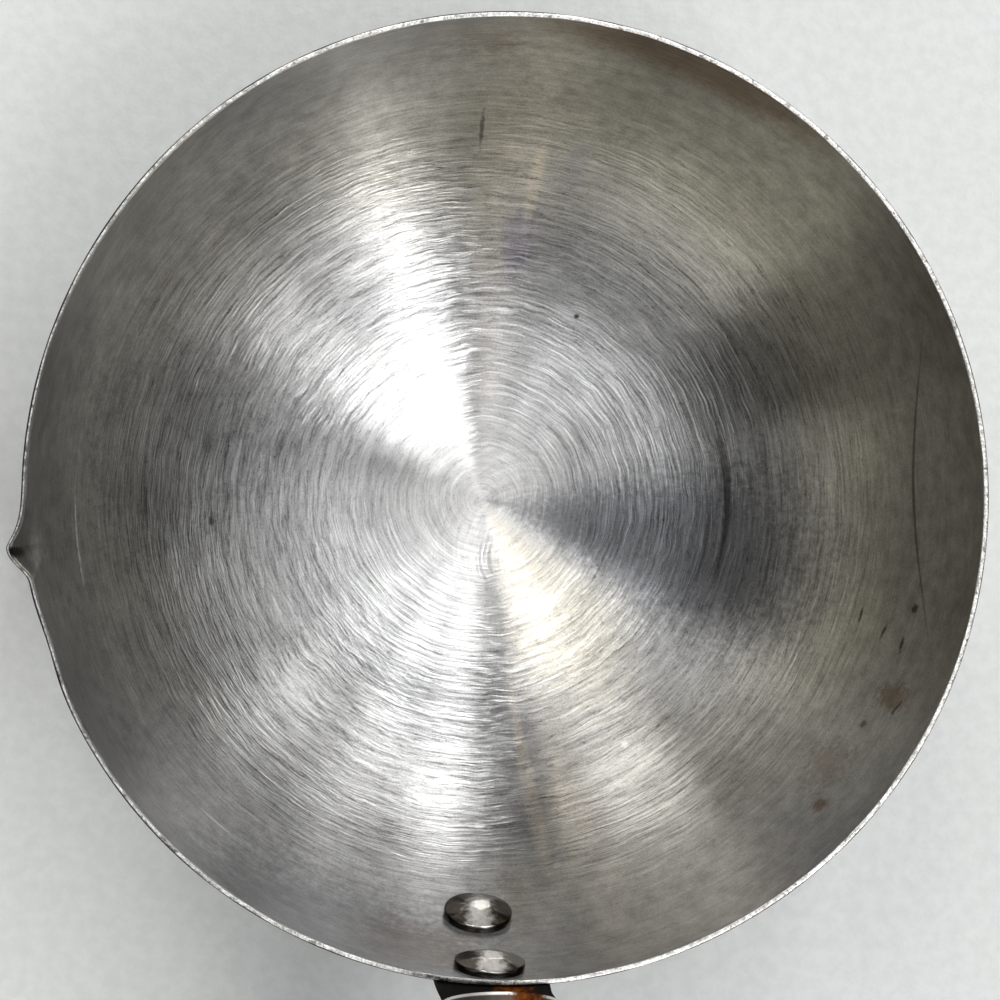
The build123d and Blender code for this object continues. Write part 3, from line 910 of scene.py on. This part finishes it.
# where the grip starts along the handle, and where the heart of its tree lay beside it
GRIP_START = 60.0
TREE_HEART = (0.0, 7.0, 31.0)
waver = noise(tree, stretched(tree, where["Place"], (0.012, 0.09, 0.09)), 1.0, detail=3.0)
_, across, up = components(tree, vector_maths(tree, "SUBTRACT", where["Place"], TREE_HEART))
growth = distance_from_axis(tree, across, up)
growth = maths(tree, "ADD", growth, maths(tree, "MULTIPLY", waver, 7.0))
year = maths(tree, "FRACT", maths(tree, "MULTIPLY", growth, 0.62))
late = maths(tree, "POWER", year, 2.2)
fibre = noise(tree, stretched(tree, where["Place"], (0.10, 3.2, 3.2)), 1.0, detail=4.0, roughness=0.65)
pores = noise(tree, stretched(tree, where["Place"], (0.35, 7.0, 7.0)), 1.0, detail=2.0)
pores = ramp(tree, pores, 0.60, 0.70)
wood = blend_colour(tree, late, (0.30, 0.150, 0.062, 1), (0.155, 0.067, 0.026, 1))
wood = blend_colour(tree, maths(tree, "MULTIPLY", fibre, 0.6), wood, (0.36, 0.19, 0.085, 1))
wood = blend_colour(tree, maths(tree, "MULTIPLY", pores, 0.6), wood, (0.055, 0.025, 0.012, 1))
palm = noise(tree, where["Place"], 0.045, detail=3.0)
wood = blend_colour(tree, ramp(tree, palm, 0.42, 0.65, 0.0, 0.7), wood, (0.55, 0.50, 0.45, 1), "MULTIPLY")
scorch_edge = maths(tree, "ADD", where["Along"], maths(tree, "MULTIPLY", waver, 8.0))
scorched = ramp(tree, scorch_edge, GRIP_START + 12.0, GRIP_START + 1.0, 0.0, 0.85)
wood = blend_colour(tree, scorched, wood, (0.20, 0.15, 0.12, 1), "MULTIPLY")
tree.links.new(wood, shader.inputs["Base Color"])
turned_rings = maths(tree, "SINE", maths(tree, "MULTIPLY", where["Along"], 9.0))
relief = maths(tree, "SUBTRACT", maths(tree, "MULTIPLY", fibre, 0.5), maths(tree, "MULTIPLY", pores, 0.8))
relief = maths(tree, "ADD", relief, maths(tree, "MULTIPLY", turned_rings, 0.08))
emboss(tree, shader, relief, 0.5, 0.00015)
tree.links.new(ramp(tree, palm, 0.3, 0.7, 0.36, 0.52), shader.inputs["Roughness"])
cover("wooden_grip", grip_wood)


# ---------------------------------------------------------------------------
# Grip pin: a steel wire pin across the socket and the tenon, both ends peened
# over; dull, with rust round its edges.
# ---------------------------------------------------------------------------
pin_steel, tree, shader = start_material("peened_pin_steel")
where = use_group(tree, handle_place)
dents = noise(tree, where["Place"], 1.4, detail=3.0)
pitted = noise(tree, where["Place"], 4.0, detail=4.0)
pin_tone = blend_colour(tree, dents, (0.24, 0.22, 0.20, 1), (0.56, 0.54, 0.51, 1))
rusty = ramp(tree, pitted, 0.50, 0.62, 0.0, 0.6)
pin_tone = blend_colour(tree, rusty, pin_tone, (0.24, 0.12, 0.06, 1))
tree.links.new(pin_tone, shader.inputs["Base Color"])
emboss(tree, shader, dents, 0.6, 0.0003)
tree.links.new(ramp(tree, pitted, 0.3, 0.7, 0.30, 0.55), shader.inputs["Roughness"])
shader.inputs["Metallic"].default_value = 1.0
cover("grip_pin", pin_steel)


# ---------------------------------------------------------------------------
# Floor and light: a plain pale bench top, and a ring of soft panels that the
# brushed steel draws out into bright wedges, and a room pale at the horizon and dark overhead.
# ---------------------------------------------------------------------------
HORIZON = (0.66, 0.665, 0.66, 1)
OVERHEAD = (0.05, 0.05, 0.051, 1)
FLOOR_REACH = 12.0
FADE_FROM = 0.45
FADE_TO = 1.8
floor_mesh = bpy.data.meshes.new("floor")
maker = bmesh.new()
bmesh.ops.create_grid(maker, x_segments=1, y_segments=1, size=FLOOR_REACH)
maker.to_mesh(floor_mesh)
maker.free()
floor = bpy.data.objects.new("floor", floor_mesh)
scene.collection.objects.link(floor)
floor_paint, tree, shader = start_material("pale_floor")
place = add_node(tree, "ShaderNodeTexCoord").outputs["Object"]
pebbled = noise(tree, place, 420.0, detail=3.0, roughness=0.6)
blotched = noise(tree, place, 14.0, detail=2.0)
paint = blend_colour(tree, ramp(tree, pebbled, 0.3, 0.7), (0.725, 0.747, 0.747, 1), (0.778, 0.80, 0.80, 1))
paint = blend_colour(tree, ramp(tree, blotched, 0.3, 0.7), paint, (0.985, 0.985, 0.98, 1), "MULTIPLY")
tree.links.new(paint, shader.inputs["Base Color"])
emboss(tree, shader, pebbled, 0.35, 0.0006)
shader.inputs["Roughness"].default_value = 0.8
# far from the ladle the floor fades into the pale room
far = vector_maths(tree, "LENGTH", place)
light_path = add_node(tree, "ShaderNodeLightPath")
seen = maths(tree, "ADD", light_path.outputs["Is Camera Ray"], light_path.outputs["Is Glossy Ray"])
seen = maths(tree, "ADD", seen, light_path.outputs["Is Transmission Ray"])
seen = maths(tree, "MINIMUM", seen, 1.0)
faded = maths(tree, "MULTIPLY", ramp(tree, far, FADE_FROM, FADE_TO), seen)
haze = add_node(tree, "ShaderNodeEmission", {"Color": HORIZON, "Strength": 1.0})
both = add_node(tree, "ShaderNodeMixShader", {0: faded, 1: shader.outputs[0], 2: haze.outputs[0]})
tree.links.new(both.outputs[0], tree.nodes["Material Output"].inputs["Surface"])
floor_mesh.materials.append(floor_paint)


PANEL_DISTANCE = 2.5


def panel(name, azimuth, elevation, width, height, power, colour=(1, 1, 1)):
    """A soft panel facing the bowl, placed by its direction from the bowl. Its size and
    power are what it would have at one metre."""
    data = bpy.data.lights.new(name, "AREA")
    data.shape = "RECTANGLE"
    data.size = width * PANEL_DISTANCE
    data.size_y = height * PANEL_DISTANCE
    data.energy = power * PANEL_DISTANCE**2
    data.color = colour
    light = bpy.data.objects.new(name, data)
    scene.collection.objects.link(light)
    a, e = math.radians(azimuth), math.radians(elevation)
    away = Vector((math.cos(a) * math.cos(e), math.sin(a) * math.cos(e), math.sin(e)))
    light.location = away * PANEL_DISTANCE
    light.rotation_mode = "QUATERNION"
    light.rotation_quaternion = away.to_track_quat("Z", "Y")


# name, azimuth and elevation in degrees, width, height, power, and a colour if not white
PANELS = (
    ("low_edge_panel", 300.5, 50, 0.055, 0.60, 1.65),
    ("low_inner_panel", 309, 54, 0.09, 0.46, 0.60),
    ("low_side_panel", 322, 62, 0.22, 0.40, 1.10),
    ("thin_low_panel", 280, 46, 0.016, 0.40, 0.22, (1.0, 0.86, 0.66)),
    ("side_low_panel", 345, 24, 0.50, 0.30, 0.30),
    ("side_mid_panel", 24, 66, 0.16, 0.36, 0.50),
    ("side_high_panel", 50, 66, 0.20, 0.36, 0.40),
    ("right_inner_panel", 42, 45, 0.16, 0.40, 0.75),
    ("high_inner_panel", 60, 45, 0.13, 0.40, 1.2),
    ("high_right_panel", 75.5, 44, 0.12, 0.64, 1.85),
    ("thin_high_panel", 100, 40, 0.018, 0.40, 0.34, (1.0, 0.90, 0.76)),
    ("high_left_panel", 113, 44, 0.23, 0.74, 1.9, (1.0, 0.97, 0.92)),
    ("left_panel", 140, 50, 0.25, 0.40, 0.55),
    ("lip_side_panel", 170, 31, 0.95, 0.42, 1.05),
    ("right_low_panel", 337, 68, 0.12, 0.22, 0.24),
    ("right_side_panel", 3, 68, 0.12, 0.22, 0.24),
    ("handle_panel", 251, 34, 0.80, 0.46, 1.95),
)
for row in PANELS:
    panel(*row)

world = bpy.data.worlds.new("room")
world.use_nodes = True
sky = world.node_tree
upward = add_node(sky, "ShaderNodeTexCoord").outputs["Generated"]
upward = components(sky, upward)[2]
sky_colour = blend_colour(sky, ramp(sky, upward, 0.0, 0.4), HORIZON, OVERHEAD)
sky.links.new(sky_colour, sky.nodes["Background"].inputs["Color"])
scene.world = world
